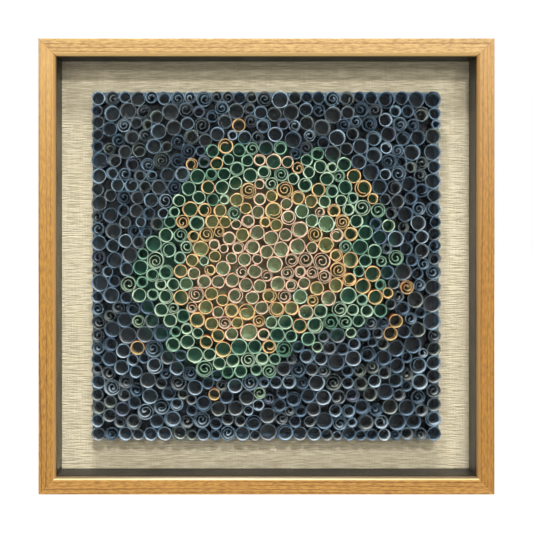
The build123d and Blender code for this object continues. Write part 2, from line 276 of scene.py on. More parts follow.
def oak_grain_group():
    """Flat-sawn oak. Its vector's X runs along the grain, in metres."""
    inputs = {
        "Along Grain": Vector((0.0, 0.0, 0.0)),
        "Pale Wood": tone(226, 178, 108),
        "Deep Wood": tone(160, 106, 48),
    }
    group, given, out = new_group("oak_grain", inputs, ("Colour", "Roughness", "Height"))
    along = given["Along Grain"]
    sway = streaks(group, along, (1.1, 44.0, 44.0))
    rings_a_metre = (0.0, 60.0, 165.0)
    fed = {0: along, 1: rings_a_metre}
    rings = place(group, "ShaderNodeVectorMath", fed, operation="DOT_PRODUCT").outputs["Value"]
    growth = calc(group, "FRACT", calc(group, "MULTIPLY_ADD", sway, 4.0, rings))
    rising = spread(group, growth, 0.70, 0.93, smooth=True)
    line = calc(group, "MULTIPLY", rising, spread(group, growth, 0.94, 1.0, 1.0, 0.0))
    strength = spread(group, streaks(group, along, (2.6, 70.0, 70.0)), 0.32, 0.54)
    broad = streaks(group, along, (2.2, 120.0, 120.0), 3.0, 0.6)
    flecks = streaks(group, along, (110.0, 560.0, 560.0), 3.0, 0.6)
    lines = calc(group, "MULTIPLY", line, strength)
    soft = calc(group, "MULTIPLY", spread(group, broad, 0.32, 0.68), 0.20)
    mottled = calc(group, "MULTIPLY_ADD", spread(group, flecks, 0.40, 0.62), 0.52, soft)
    depth = calc(group, "MULTIPLY_ADD", lines, 0.80, mottled)
    share = calc(group, "MINIMUM", depth, 1.0)
    wood = mixed_colour(group, share, given["Pale Wood"], given["Deep Wood"])
    group.links.new(wood, out["Colour"])
    group.links.new(spread(group, mottled, 0.0, 0.6, 0.40, 0.54), out["Roughness"])
    group.links.new(calc(group, "SUBTRACT", 0.0, depth), out["Height"])
    return group


def card_strip_group():
    """Coloured card strip: its two faces, darkened by painted shade that grows behind the rim, and
    the paler cut edge that looks to the front."""
    inputs = {
        "Face": tone(80, 120, 150),
        "Cut Edge": tone(130, 165, 190),
        "Unevenness": 0.3,
        "Rim Place": -0.0145,
        "Deep Shade": 0.25,
        "Painted Shade From": 0.0025,
        "Painted Shade To": 0.0125,
    }
    group, given, out = new_group("card_strip", inputs, ("Colour", "Roughness", "Height"))
    spot = object_place(group)
    facing = place(group, "ShaderNodeTexCoord").outputs["Normal"]
    front = place(group, "ShaderNodeSeparateXYZ", {0: facing}).outputs["Y"]
    is_edge = spread(group, front, -0.9, -0.5, 1.0, 0.0)
    cloud = speckle(group, spot, 70.0, 2.0)
    fibre = speckle(group, spot, 1400.0, 3.0, 0.6)
    plain = mixed_colour(group, is_edge, given["Face"], given["Cut Edge"])
    patch = calc(group, "MULTIPLY", spread(group, cloud, 0.4, 0.65), given["Unevenness"])
    shaded = mixed_colour(group, patch, plain, tone(128, 128, 128), "MULTIPLY")
    spot_y = place(group, "ShaderNodeSeparateXYZ", {0: spot}).outputs["Y"]
    # Painted shade: the faces grow darker with depth behind the rim, down to the painted depth shade
    # share.
    behind_rim = calc(group, "SUBTRACT", spot_y, given["Rim Place"])
    start, end = given["Painted Shade From"], given["Painted Shade To"]
    painted_depth_darkening = spread(group, behind_rim, start, end, 1.0, given["Deep Shade"], smooth=True)
    grain = calc(group, "MULTIPLY", spread(group, fibre, 0.3, 0.7, 0.86, 1.08), painted_depth_darkening)
    lit = place(group, "ShaderNodeVectorMath", {0: shaded, "Scale": grain}, operation="SCALE")
    group.links.new(lit.outputs[0], out["Colour"])
    group.links.new(spread(group, is_edge, 0.0, 1.0, 0.34, 0.6), out["Roughness"])
    group.links.new(fibre, out["Height"])
    return group


def linen_group():
    """Slub linen: thick and thin threads across, finer ones up and down."""
    inputs = {"Thread": tone(239, 230, 203), "Between Threads": tone(201, 189, 158)}
    group, given, out = new_group("slub_linen", inputs, ("Colour", "Height"))
    spot = object_place(group)
    slubs = streaks(group, spot, (44.0, 0.0, 520.0), 3.0, 0.6)
    warp = streaks(group, spot, (520.0, 0.0, 26.0))
    cloud = streaks(group, spot, (14.0, 0.0, 14.0))
    across = spread(group, slubs, 0.36, 0.57)
    upright = spread(group, warp, 0.35, 0.65)
    weave = calc(group, "MULTIPLY_ADD", across, 0.80, calc(group, "MULTIPLY", upright, 0.20))
    gaps = calc(group, "SUBTRACT", 1.0, weave)
    cloth = mixed_colour(group, gaps, given["Thread"], given["Between Threads"])
    tint = calc(group, "MULTIPLY", spread(group, cloud, 0.35, 0.7), 0.22)
    group.links.new(mixed_colour(group, tint, cloth, tone(206, 192, 158)), out["Colour"])
    group.links.new(weave, out["Height"])
    return group


def fibre_board_group():
    """Pressed board, felt and matt paint: a base colour with fine flecks and soft clouds."""
    inputs = {
        "Base": tone(128, 128, 128),
        "Flecks": tone(90, 90, 90),
        "Flecks A Metre": 700.0,
        "Sheen Loss": 0.7,
    }
    group, given, out = new_group("fibre_board", inputs, ("Colour", "Roughness", "Height"))
    spot = object_place(group)
    flecks = speckle(group, spot, given["Flecks A Metre"], 3.0, 0.6)
    cloud = speckle(group, spot, 18.0, 3.0)
    share = calc(group, "MULTIPLY", spread(group, flecks, 0.45, 0.68), 0.7)
    board = mixed_colour(group, share, given["Base"], given["Flecks"])
    patch = calc(group, "MULTIPLY", spread(group, cloud, 0.35, 0.7), 0.3)
    group.links.new(mixed_colour(group, patch, board, given["Flecks"]), out["Colour"])
    uneven = spread(group, cloud, 0.3, 0.7, -0.08, 0.08)
    group.links.new(calc(group, "ADD", given["Sheen Loss"], uneven), out["Roughness"])
    group.links.new(flecks, out["Height"])
    return group


def rolled_steel_group():
    """Thin plated steel with rolling marks and dull patches."""
    inputs = {
        "Metal": tone(190, 192, 194),
        "Dull Metal": tone(140, 142, 142),
        "Rolling Marks": 300.0,
    }
    group, given, out = new_group("rolled_steel", inputs, ("Colour", "Roughness", "Height"))
    spot = object_place(group)
    fed = {0: spot, "Scale": given["Rolling Marks"]}
    scaled = place(group, "ShaderNodeVectorMath", fed, operation="SCALE").outputs[0]
    marks = streaks(group, scaled, (4.0, 1.0, 0.3), 3.0, 0.6)
    cloud = speckle(group, spot, 220.0, 3.0, 0.6)
    dull = spread(group, cloud, 0.4, 0.7)
    group.links.new(mixed_colour(group, dull, given["Metal"], given["Dull Metal"]), out["Colour"])
    worn = calc(group, "MULTIPLY_ADD", marks, 0.15, spread(group, dull, 0.0, 1.0, 0.26, 0.46))
    group.links.new(worn, out["Roughness"])
    group.links.new(marks, out["Height"])
    return group


oak_grain = oak_grain_group()
card_strip = card_strip_group()
slub_linen = linen_group()
fibre_board = fibre_board_group()
rolled_steel = rolled_steel_group()


# Materials

# Painted shade: the dark tone of the lip faces.
lip_shade_tone = tone(72, 50, 28)
painted_sheen_tone = tone(235, 201, 141)
joint_tone = tone(110, 70, 32)
joint_depth = 0.55
joint_core = 0.0001
joint_reach = 0.0007
bevel_breadth = 0.0026
lip_breadth = 0.0011
soft_edge = 0.0004
# Painted sheen: heights in metres where the pale sheen tone starts and where it is full.
painted_sheen_start = 0.22
painted_sheen_full = 0.57

# Tones of each moulding: the top rail's pale and deep tones are paler than the others', painted light
# from above. Each bevel tone is painted light, a cream highlight along the bottom rail; the lip shade
# share is painted shade on the lip face; and the sheen is a painted sheen towards the top of the
# stiles.
Moulding = namedtuple("Moulding", "finish runs_up grain_shift pale deep bevel lip_depth sheen")
mouldings = {
    "rail_top": Moulding(
        finish="oak_top_rail",
        runs_up=False,
        grain_shift=(3.1, 0.4, 0.2),
        pale=tone(209, 174, 112),
        deep=tone(137, 97, 50),
        bevel=tone(255, 212, 136),
        lip_depth=0.0,
        sheen=0.0,
    ),
    "rail_bottom": Moulding(
        finish="oak_bottom_rail",
        runs_up=False,
        grain_shift=(7.7, 1.9, 0.7),
        pale=tone(202, 153, 76),
        deep=tone(122, 78, 28),
        bevel=tone(214, 188, 126),
        lip_depth=0.9,
        sheen=0.0,
    ),
    "stile_left": Moulding(
        finish="oak_left_stile",
        runs_up=True,
        grain_shift=(12.3, 2.2, 1.3),
        pale=tone(190, 141, 60),
        deep=tone(122, 78, 28),
        bevel=tone(193, 148, 86),
        lip_depth=0.2,
        sheen=0.36,
    ),
    "stile_right": Moulding(
        finish="oak_right_stile",
        runs_up=True,
        grain_shift=(17.9, 3.6, 2.4),
        pale=tone(180, 130, 52),
        deep=tone(122, 78, 28),
        bevel=tone(178, 133, 73),
        lip_depth=0.2,
        sheen=0.26,
    ),
}


def oak(moulding):
    """Lacquered oak for one moulding, with the hairline of its mitres, painted light in its bevel
    tone, painted shade on its lip face, and a painted sheen that grows towards the top."""
    lacquer = {"Coat_Weight": 0.4, "Coat_Roughness": 0.34, "Specular_IOR_Level": 0.3}
    material, tree, shader = new_material(moulding.finish, **lacquer)
    parts = place(tree, "ShaderNodeSeparateXYZ", {0: object_place(tree)}).outputs
    x, y, z = parts["X"], parts["Y"], parts["Z"]
    order = (z, y, x) if moulding.runs_up else (x, y, z)
    turned = place(tree, "ShaderNodeCombineXYZ", dict(enumerate(order))).outputs[0]
    moved = {0: turned, 1: moulding.grain_shift}
    shifted = place(tree, "ShaderNodeVectorMath", moved, operation="ADD").outputs[0]
    fed = {"Along Grain": shifted, "Pale Wood": moulding.pale, "Deep Wood": moulding.deep}
    finish_with(tree, shader, oak_grain, fed, 0.35)
    grain_colour = shader.inputs["Base Color"].links[0].from_socket
    aside, rise, outward = off_middle(tree, x, z)
    off_mitre = calc(tree, "ABSOLUTE", calc(tree, "SUBTRACT", aside, rise))
    joint = spread(tree, off_mitre, joint_core, joint_reach, joint_depth, 0.0)
    past_sight = calc(tree, "SUBTRACT", outward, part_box("spacer_right")[0].x)
    # Painted light and shade at the sight edge: the bevel takes its moulding's bevel tone, and the
    # lip face a share of the dark lip tone.
    on_bevel = spread(tree, past_sight, bevel_breadth, bevel_breadth + soft_edge, 1.0, 0.0)
    on_lip = spread(tree, past_sight, lip_breadth, lip_breadth + soft_edge, moulding.lip_depth, 0.0)
    # Painted sheen: a pale tone mixed in, growing towards the top.
    height = spread(tree, z, painted_sheen_start, painted_sheen_full)
    painted_sheen_share = calc(tree, "MULTIPLY", calc(tree, "POWER", height, 2.0), moulding.sheen)
    with_painted_sheen = mixed_colour(tree, painted_sheen_share, grain_colour, painted_sheen_tone)
    with_painted_bevel = mixed_colour(tree, on_bevel, with_painted_sheen, moulding.bevel)
    with_lip_shade = mixed_colour(tree, on_lip, with_painted_bevel, lip_shade_tone)
    jointed = mixed_colour(tree, joint, with_lip_shade, joint_tone)
    tree.links.new(jointed, shader.inputs["Base Color"])
    return material


def picture_glass():
    """Clear anti-reflection glass. Light from the lamps passes straight through it."""
    material, tree, shader = new_material("picture_glass", 0.0, IOR=1.08, Transmission_Weight=1.0)
    shader.inputs["Base Color"].default_value = (0.985, 0.99, 0.985, 1.0)
    rays = place(tree, "ShaderNodeLightPath").outputs
    clear = place(tree, "ShaderNodeBsdfTransparent").outputs[0]
    shown = shader.outputs[0]
    for ray in ("Is Diffuse Ray", "Is Shadow Ray"):
        shown = place(tree, "ShaderNodeMixShader", {0: rays[ray], 1: shown, 2: clear}).outputs[0]
    tree.links.new(shown, tree.nodes["Material Output"].inputs["Surface"])
    return material


def boarded(name, base, flecks, flecks_a_metre, roughness, relief=0.2):
    material, tree, shader = new_material(name)
    fed = {"Base": base, "Flecks": flecks, "Flecks A Metre": flecks_a_metre, "Sheen Loss": roughness}
    finish_with(tree, shader, fibre_board, fed, relief)
    return material


def steel(name, metal, dull, marks):
    material, tree, shader = new_material(name, Metallic=1.0)
    fed = {"Metal": metal, "Dull Metal": dull, "Rolling Marks": marks}
    finish_with(tree, shader, rolled_steel, fed, 0.15, 0.00005)
    return material


def linen():
    sheen = {"Sheen_Weight": 0.15, "Sheen_Roughness": 0.5}
    material, tree, shader = new_material("slub_linen", 0.92, **sheen)
    finish_with(tree, shader, slub_linen, {}, 0.9, 0.0012)
    return material


def card(name, face, cut_edge, deep_shade):
    material, tree, shader = new_material(name)
    rim_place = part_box("coils_centre")[0].y
    fed = {"Face": face, "Cut Edge": cut_edge, "Rim Place": rim_place, "Deep Shade": deep_shade}
    finish_with(tree, shader, card_strip, fed, 0.2, 0.0001)
    return material


# Places of the board paint, in metres
green_blend = (-0.012, 0.008)
slate_blend = (-0.006, 0.010)
rim_blend = (-0.008, -0.004)
low_slate = 0.24
high_slate = 0.40
left_slate_end = -0.20
right_slate_start = 0.08


def paint_reach(tree, x, z):
    """Distance from the middle of the colour zones, evened out over their lobes, in metres."""
    across = calc(tree, "SUBTRACT", x, zone_offset_x * millimetre)
    up = calc(tree, "SUBTRACT", z, cad_high.z / 2 + zone_offset_z * millimetre)
    angle = calc(tree, "ARCTAN2", up, across)
    uneven = 1.0
    for size, lobes, start in zone_lobes:
        wave = calc(tree, "SINE", calc(tree, "MULTIPLY_ADD", angle, float(lobes), start))
        uneven = calc(tree, "MULTIPLY_ADD", wave, size, uneven)
    squares = [calc(tree, "MULTIPLY", side, side) for side in (across, up)]
    return calc(tree, "DIVIDE", calc(tree, "SQRT", calc(tree, "ADD", *squares)), uneven)


def past(tree, reach, edge, blend):
    """0 inside an edge and 1 beyond it, with a soft step from one to the other."""
    return spread(tree, reach, edge + blend[0], edge + blend[1], smooth=True)


def board_paint():
    """Paint that follows the colour zones: olive in the middle, then green, then slate."""
    material, tree, shader = new_material("zone_paint")
    parts = place(tree, "ShaderNodeSeparateXYZ", {0: object_place(tree)}).outputs
    x, z = parts["X"], parts["Z"]
    reach = paint_reach(tree, x, z)
    to_green = past(tree, reach, centre_zone_radius * millimetre, green_blend)
    slate_edge = (centre_zone_radius + ring_zone_breadth) * millimetre
    to_slate = past(tree, reach, slate_edge, slate_blend)
    outward = off_middle(tree, x, z)[2]
    near_rim = past(tree, outward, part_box("base_board")[1].x, rim_blend)
    inner = mixed_colour(tree, to_green, tone(184, 212, 172), tone(38, 104, 86))
    height = spread(tree, z, low_slate, high_slate, smooth=True)
    sideways = spread(tree, x, left_slate_end, right_slate_start, smooth=True)
    left_slate = mixed_colour(tree, height, tone(32, 46, 56), tone(76, 84, 88))
    right_slate = mixed_colour(tree, height, tone(14, 22, 30), tone(42, 50, 56))
    slate = mixed_colour(tree, sideways, left_slate, right_slate)
    rimmed = mixed_colour(tree, near_rim, slate, tone(84, 112, 136))
    paint = mixed_colour(tree, to_slate, inner, rimmed)
    fleck = mixed_colour(tree, 0.35, paint, tone(30, 34, 34))
    fed = {"Base": paint, "Flecks": fleck, "Flecks A Metre": 260.0, "Sheen Loss": 0.6}
    finish_with(tree, shader, fibre_board, fed, 0.2)
    return material


# Layout of the coils


def draw_radius(chance):
    return chance.triangular(smallest_coil_radius, largest_coil_radius, usual_coil_radius)


def row_run(radii):
    """How far a row of touching coils reaches along the edge they all stand on."""
    return sum(2 * math.sqrt(a * b) for a, b in zip(radii, radii[1:]))


def edge_row(first, last, chance):
    """Radii between two corner coils, scaled so that the row touches from end to end."""
    run = field_side - first - last
    between = []
    while row_run([first, *between, last]) < run:
        between.append(draw_radius(chance))
    low, high = 0.0, 1.0
    for _ in range(fitting_steps):
        middle = (low + high) / 2
        if row_run([first, *(r * middle for r in between), last]) < run:
            low = middle
        else:
            high = middle
    return [r * low for r in between]


def border_discs(chance):
    """Coils that stand against the four edges: [x, z, radius], round the field in order."""
    half = field_side / 2
    corners = [draw_radius(chance) for _ in range(4)]
    discs = []
    for side, first in enumerate(corners):
        last = corners[(side + 1) % 4]
        row = [first, *edge_row(first, last, chance)]
        turn_x, turn_z = ((1, 0), (0, 1), (-1, 0), (0, -1))[side]
        for place_in_row, radius in enumerate(row):
            along = first - half + row_run(row[: place_in_row + 1])
            rise = radius - half
            discs.append([along * turn_x - rise * turn_z, along * turn_z + rise * turn_x, radius])
    return discs


def inner_discs(chance):
    """Coils inside the border, strewn unevenly over staggered rows that fill their share."""
    inside = field_side - 4 * usual_coil_radius
    pitch = usual_coil_radius * math.sqrt(math.pi / filled_share)
    rows = round(inside / (pitch * row_squeeze))
    columns = round(inside / (pitch / row_squeeze))
    discs = []
    for row in range(rows):
        stagger = row_stagger if row % 2 else -row_stagger
        for column in range(columns):
            along = column + 0.5 + stagger + chance.uniform(-strewing, strewing)
            rise = row + 0.5 + chance.uniform(-strewing, strewing)
            x = (along / columns - 0.5) * inside
            z = (rise / rows - 0.5) * inside
            discs.append([x, z, draw_radius(chance)])
    return discs


def near_pairs(discs, cell):
    """Index pairs of discs that lie in the same square of the plane or in neighbouring ones."""
    squares = {}
    for index, (x, z, _) in enumerate(discs):
        squares.setdefault((x // cell, z // cell), []).append(index)
    for (column, row), members in squares.items():
        for place_in_cell, index in enumerate(members):
            for other in members[place_in_cell + 1 :]:
                yield index, other
        for step in ((1, -1), (1, 0), (1, 1), (0, 1)):
            for other in squares.get((column + step[0], row + step[1]), ()):
                for index in members:
                    yield index, other


def relax(discs, fixed):
    """Pushes overlapping discs apart. The first ones, along the border, stay where they are."""
    for _ in range(relaxing_rounds):
        for i, j in near_pairs(discs, 2 * largest_coil_radius):
            a, b = discs[i], discs[j]
            across, up = b[0] - a[0], b[1] - a[1]
            apart = math.sqrt(across * across + up * up) or least_apart
            overlap = a[2] + b[2] - apart
            if overlap <= 0 or (i < fixed and j < fixed):
                continue
            share_a = 0.0 if i < fixed else 1.0 if j < fixed else 0.5
            across *= overlap / apart
            up *= overlap / apart
            a[0] -= across * share_a
            a[1] -= up * share_a
            b[0] += across * (1 - share_a)
            b[1] += up * (1 - share_a)


def fit_radii(discs, fixed):
    """Trims or grows each inner coil until it just touches its nearest neighbour."""
    rooms = [[] for _ in discs]
    for i, j in near_pairs(discs, 2 * largest_coil_radius * growing_share):
        a, b = discs[i], discs[j]
        apart = math.hypot(b[0] - a[0], b[1] - a[1])
        rooms[i].append((apart, j))
        rooms[j].append((apart, i))
    for index in range(fixed, len(discs)):
        nearest = min((apart - discs[other][2] for apart, other in rooms[index]), default=0)
        shared = min((apart / 2 for apart, _ in rooms[index]), default=nearest)
        limit = discs[index][2] * growing_share
        discs[index][2] = max(min(nearest, limit), min(shared, smallest_coil_radius / 2))


def lay_coils():
    """All coils of the field, with its middle at X 0 and Z 0. The border coils come first."""
    chance = random.Random(layout_seed)
    border = border_discs(chance)
    discs = border + inner_discs(chance)
    relax(discs, len(border))
    fit_radii(discs, len(border))
    coils = []
    for x, z, radius in discs:
        is_open = chance.random() < open_share
        coils.append(Coil(x, z, radius, is_open, chance.uniform(0, 2 * math.pi)))
    return coils


# Colour zones


def zone_reach(coil):
    """Distance from the middle of the colour zones, evened out over their lobes."""
    across = coil.x - zone_offset_x
    up = coil.z - zone_offset_z
    angle = math.atan2(up, across)
    uneven = 1 + sum(size * math.sin(lobes * angle + start) for size, lobes, start in zone_lobes)
    return math.hypot(across, up) / uneven


def zone_of(reach):
    """Number of a zone: 0 for the centre, 1 for the ring and 2 for the surround."""
    if reach < centre_zone_radius:
        return 0
    return 1 if reach < centre_zone_radius + ring_zone_breadth else 2


# The dye on the outer side of a family of strips and on the outer part of its cut edges, and the
# share of a colour that is left near the board under painted shade
Dye = namedtuple("Dye", "outside outer_edge deep_shade")
dyes = {
    "warm": Dye(tone(214, 116, 64), tone(234, 136, 88), 0.5),
    "green": Dye(tone(34, 96, 72), tone(140, 190, 160), 0.4),
    "blue": Dye(tone(28, 30, 34), tone(84, 112, 136), 0.17),
}

# Colours of the strips: inner side, cut edge and dye. The inner sides are paler than the card, the
# blue ones near white: painted highlight for the lit crescents inside the coils.
strip_colours = {
    "steel_blue": (tone(214, 234, 250), tone(124, 162, 188), "blue"),
    "slate": (tone(206, 214, 218), tone(96, 111, 118), "blue"),
    "sky": (tone(226, 242, 255), tone(186, 218, 240), "blue"),
    "navy": (tone(156, 184, 208), tone(60, 91, 116), "blue"),
    "grey_green": (tone(208, 218, 210), tone(98, 112, 104), "blue"),
    "violet_grey": (tone(182, 194, 218), tone(100, 112, 138), "blue"),
    "mint": (tone(208, 240, 210), tone(226, 248, 220), "green"),
    "sea_green": (tone(150, 202, 176), tone(176, 216, 190), "green"),
    "deep_teal": (tone(92, 156, 130), tone(124, 180, 154), "green"),
    "gold": (tone(250, 226, 164), tone(255, 240, 172), "warm"),
    "cream": (tone(250, 240, 208), tone(255, 250, 224), "warm"),
    "salmon": (tone(246, 230, 202), tone(255, 246, 220), "warm"),
    "rose": (tone(240, 222, 202), tone(255, 238, 214), "warm"),
}

# How often each colour is picked, by zone and by how far out in it the coil stands
middle_mix = {"salmon": 34, "rose": 26, "cream": 26, "gold": 14}
warm_edge_mix = {"gold": 54, "cream": 22, "salmon": 12, "mint": 8, "sea_green": 4}
ring_mix = {"mint": 38, "sea_green": 32, "deep_teal": 10, "gold": 16, "cream": 4}
ring_edge_mix = {"mint": 22, "sea_green": 26, "deep_teal": 18, "gold": 10, "navy": 14, "slate": 10}
near_surround_mix = {
    "navy": 26,
    "slate": 26,
    "steel_blue": 24,
    "grey_green": 10,
    "mint": 5,
    "gold": 3,
    "sky": 6,
}
surround_mix = {
    "steel_blue": 34,
    "slate": 27,
    "sky": 10,
    "navy": 17,
    "grey_green": 10,
    "violet_grey": 2,
}
deep_side_mix = {
    "steel_blue": 18,
    "slate": 16,
    "sky": 12,
    "navy": 42,
    "grey_green": 10,
    "violet_grey": 2,
}


def colour_mix(reach, across):
    """The surround is deeper on its right side."""
    if reach < centre_zone_radius * middle_share:
        return middle_mix
    if reach < centre_zone_radius:
        return warm_edge_mix
    if reach < centre_zone_radius + ring_zone_breadth * inner_ring_share:
        return ring_mix
    if reach < centre_zone_radius + ring_zone_breadth:
        return ring_edge_mix
    if reach < centre_zone_radius + ring_zone_breadth * near_surround_share:
        return near_surround_mix
    return deep_side_mix if across > deep_side_start else surround_mix


def pick_colour(reach, across, chance):
    mix = colour_mix(reach, across)
    return chance.choices(list(mix), weights=list(mix.values()))[0]


# Rolled strips


def smooth_step(value):
    share = min(max(value, 0.0), 1.0)
    return share * share * (3 - 2 * share)


def inward_slide(turns):
    """How far the strip has left the outer ring after some turns: 0 over the first one."""
    beyond = max(turns - 1, 0.0)
    return beyond * beyond / (beyond + slide_easing)


Habit = namedtuple("Habit", "turns thickness end_radius lean hook")


def strip_habit(coil, zone, chance):
    """How a strip is rolled: as a plain ring, which has no end radius, a double ring or a
    spiral, whose inner end is hooked. The inner turns lean to one side."""
    share = zone_strip_shares[zone]
    is_spiral = not coil.is_open and chance.random() < spiral_shares[zone]
    if not is_spiral and chance.random() < ring_share:
        return Habit(chance.uniform(*ring_turns), ring_strip * share, None, 0.0, 0.0)
    if not is_spiral:
        end_radius = coil.radius * chance.uniform(*double_end_shares)
        turns = chance.uniform(*double_turns)
        return Habit(turns, double_strip * share, end_radius, chance.uniform(*double_leans), 0.0)
    end_radius = chance.uniform(*spiral_end_radii)
    pitch = chance.uniform(*spiral_pitches)
    turns = outer_turns + (coil.radius - spiral_strip - end_radius) / pitch
    return Habit(turns, spiral_strip * share, end_radius, chance.uniform(*spiral_leans), 1.0)


def strip_line(coil, zone, chance):
    """Points along a rolled strip's middle line, in X and Z, each with the strip's half thickness."""
    turns, thickness, end_radius, lean, hooked = strip_habit(coil, zone, chance)
    outer = coil.radius - thickness / 2
    tucked = turn_spacing * thickness
    start = chance.uniform(0, 2 * math.pi)
    way = chance.choice((-1, 1))
    oval = chance.uniform(0.0, most_oval)
    oval_turn = chance.uniform(0, 2 * math.pi)

    def tuck_at(turned):
        whole = math.floor(turned)
        return tucked * (whole + smooth_step((turned - whole - tuck_start) / (1 - tuck_start)))

    slide = 0.0
    if end_radius is not None:
        room = outer - min(tuck_at(turns), tucked) - end_radius
        slide = max(room, 0.0) / inward_slide(turns)
    points = []
    turned = 0.0
    while True:
        slid = slide * inward_slide(turned)
        angle = start + way * 2 * math.pi * turned
        swell = 1 + oval * math.cos(2 * (angle - oval_turn))
        tuck = tuck_at(turned) if end_radius is None else min(tuck_at(turned), tucked)
        radius = max(outer - tuck - slid * swell, thickness)
        hook = hooked * smooth_step((turned - turns + hook_turns) / hook_turns)
        radius -= hook * (radius - min(radius, hook_radius)) * hook_pull
        x = coil.x + lean * slid * math.cos(coil.turn) + radius * math.cos(angle)
        z = coil.z + lean * slid * math.sin(coil.turn) + radius * math.sin(angle)
        points.append((x, z, thickness / 2 * (1 + hook_swelling * hook)))
        if turned >= turns:
            return points if way > 0 else points[::-1]
        bend = math.sqrt(max(radius, least_bend) / usual_coil_radius)
        turned = min(turned + 1 / max(segments_a_turn * bend, least_segments), turns)


class Fabric:
    """Vertices, faces and material numbers of a mesh that is being gathered."""

    def __init__(self):
        self.vertices = []
        self.faces = []
        self.shades = []

    def add_face(self, corners, shade):
        self.faces.append(corners)
        self.shades.append(shade)


# Corners of a strip's section, in the order in which they are added, and its end faces
inner_front, outer_front, inner_back, outer_back, dye_line = range(5)
section_size = 5
first_end = (inner_front, inner_back, outer_back, outer_front, dye_line)
last_end = (inner_front, dye_line, outer_front, outer_back, inner_back)


def add_strip(fabric, line, front, back, shade, outside):
    """A strip that stands on edge along a line of points that winds anticlockwise. Its outer
    side and the outer part of its cut edge have a material of their own."""
    section = (
        (inner_front, dye_line, shade),
        (dye_line, outer_front, outside),
        (outer_front, outer_back, outside),
        (outer_back, inner_back, shade),
        (inner_back, inner_front, shade),
    )
    first = len(fabric.vertices)
    for place_in_line, (x, z, half) in enumerate(line):
        before = line[max(place_in_line - 1, 0)]
        after = line[min(place_in_line + 1, len(line) - 1)]
        along_x, along_z = after[0] - before[0], after[1] - before[1]
        length = math.hypot(along_x, along_z)
        side_x, side_z = -along_z / length * half, along_x / length * half
        for depth in (front, back):
            fabric.vertices.append((x + side_x, depth, z + side_z))
            fabric.vertices.append((x - side_x, depth, z - side_z))
        fabric.vertices.append((x - side_x * dyed_from, front, z - side_z * dyed_from))
    last = first + section_size * (len(line) - 1)
    for a in range(first, last, section_size):
        b = a + section_size
        for corner, next_corner, colour in section:
            face = (a + corner, a + next_corner, b + next_corner, b + corner)
            fabric.add_face(face, colour)
    fabric.add_face([first + corner for corner in first_end], shade)
    fabric.add_face([last + corner for corner in last_end], shade)


def new_piece(name, vertices, faces, materials, shades=None):
    """A mesh object in metres, smooth but for its creases, that rides on the frame."""
    mesh = bpy.data.meshes.new(name)
    mesh.from_pydata(vertices, [], faces)
    for material in materials:
        mesh.materials.append(material)
    if shades:
        mesh.polygons.foreach_set("material_index", shades)
    mesh.shade_smooth()
    mesh.set_sharp_from_angle(angle=crease_angle)
    piece = bpy.data.objects.new(name, mesh)
    bpy.context.scene.collection.objects.link(piece)
    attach(piece, "root")
    return piece


def gather_strips():
    """The rolled strips of each zone, standing on the painted board, with the numbers of their
    colours and, after those, of their dyes."""
    rim_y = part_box("coils_centre")[0].y / millimetre
    foot_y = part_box("base_board")[0].y / millimetre
    middle_z = cad_high.z / 2 / millimetre
    numbers = {name: number for number, name in enumerate([*strip_colours, *dyes])}
    gathered = [Fabric() for _ in zones]
    chance = random.Random(strip_seed)
    for coil in lay_coils():
        reach = zone_reach(coil)
        picked = pick_colour(reach, coil.x, chance)
        zone = zone_of(reach)
        line = strip_line(coil, zone, chance)
        raised = [(x, z + middle_z, half) for x, z, half in line]
        front = rim_y + chance.uniform(0, rim_unevenness)
        dye = strip_colours[picked][2]
        add_strip(gathered[zone], raised, front, foot_y, numbers[picked], numbers[dye])
    return gathered


def rolled_coils():
    """The coils of each zone as one piece of rolled strips, with the materials that it uses."""
    materials = []
    for name, (face, cut_edge, dye) in strip_colours.items():
        materials.append(card(f"card_{name}", face, cut_edge, dyes[dye].deep_shade))
    for name, dye in dyes.items():
        materials.append(card(f"card_outside_{name}", dye.outside, dye.outer_edge, dye.deep_shade))
    for fabric, (zone, slot) in zip(gather_strips(), zones):
        vertices = [tuple(value * millimetre for value in corner) for corner in fabric.vertices]
        used = sorted(set(fabric.shades))
        shades = [used.index(shade) for shade in fabric.shades]
        picked = [materials[shade] for shade in used]
        piece = new_piece(f"rolled_strips_{zone}", vertices, fabric.faces, picked, shades)
        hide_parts(f"coils_{zone}")


# Linen


def stretched_linen():
    """The linen over its board: a thin closed sheet with a faint unevenness on its front."""
    low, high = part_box("linen_cover")
    count = linen_divisions + 1
    vertices = []
    for depth in (low.y, high.y):
        for row in range(count):
            for column in range(count):
                x = low.x + (high.x - low.x) * column / linen_divisions
                z = low.z + (high.z - low.z) * row / linen_divisions
                dip = 0.0
                if depth == low.y:
                    spot = Vector((x * linen_lumps_across, 0.0, z * linen_lumps_up))
                    dip = linen_sag * (0.5 + 0.5 * noise.noise(spot))
                vertices.append((x, depth + dip, z))
    faces = []
    for row in range(linen_divisions):
        for column in range(linen_divisions):
            a = row * count + column
            b = a + count * count
            faces.append((a, a + 1, a + count + 1, a + count))
            faces.append((b, b + count, b + count + 1, b + 1))
    behind = count * count
    for step in range(linen_divisions):
        top = linen_divisions * count
        left = step * count
        right = left + linen_divisions
        faces.append((step + 1, step, step + behind, step + 1 + behind))
        faces.append((top + step, top + step + 1, top + step + 1 + behind, top + step + behind))
        faces.append((left, left + count, left + count + behind, left + behind))
        faces.append((right + count, right, right + behind, right + count + behind))
    piece = new_piece("stretched_linen", vertices, faces, [linen()])
    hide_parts("linen_cover")


# Materials of the pieces whose shape is the real one


def dress(name, material):
    """Gives a piece one material all over."""
    mesh = nodes[name].data
    mesh.materials.clear()
    mesh.materials.append(material)


def dress_frame():
    for name, moulding in mouldings.items():
        dress(name, oak(moulding))


